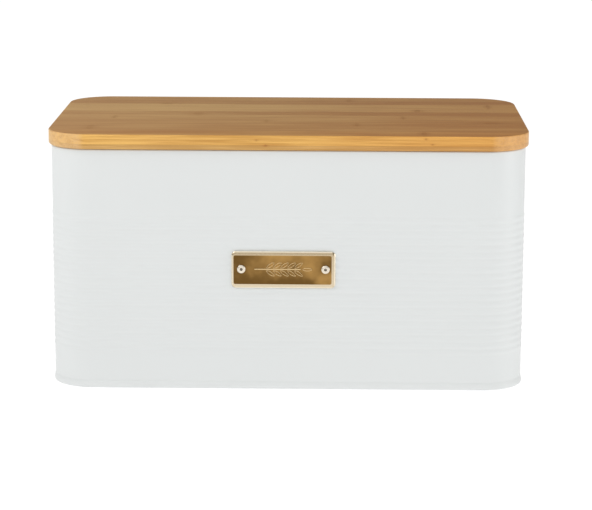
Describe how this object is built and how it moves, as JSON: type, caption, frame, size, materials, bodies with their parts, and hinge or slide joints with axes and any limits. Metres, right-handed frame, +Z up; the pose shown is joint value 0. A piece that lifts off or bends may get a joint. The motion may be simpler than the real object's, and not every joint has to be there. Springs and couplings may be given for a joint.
{
  "type": "bread bin with lift-off lid",
  "caption": "Rectangular bread bin: a ribbed, coated sheet-steel box with rounded corners and a seamed base, a riveted brass plate and a lift-off bamboo lid.",
  "frame": {"origin": "under the middle of the whole object, on the surface it stands on", "axes": "+X along the bin's length, to the right as seen from the front; +Y towards the back; +Z up, the way the lid lifts off"},
  "size_m": [0.35, 0.202, 0.188],
  "materials": {
    "coated_steel": "satin off-white powder coat",
    "brass": "lightly aged, satin face with polished edges",
    "rivet_aluminium": "bright",
    "mandrel_steel": "dull, broken end",
    "bamboo": "oiled, fine grain along the length"
  },
  "bodies": {
    "bin": {"body_wall": "coated_steel", "base_pan": "coated_steel", "name_plate": "brass", "rivet_left": "rivet_aluminium", "rivet_right": "rivet_aluminium", "mandrel_left": "mandrel_steel", "mandrel_right": "mandrel_steel"},
    "lid": {"lid_top_ply": "bamboo", "lid_core_ply": "bamboo", "lid_bottom_ply": "bamboo", "lid_step_ply": "bamboo"}
  },
  "joints": [
    {"name": "lid_lift", "type": "slide", "parent": "bin", "child": "lid", "axis": [0, 0, 1], "range_m": [0, 0.2]}
  ]
}
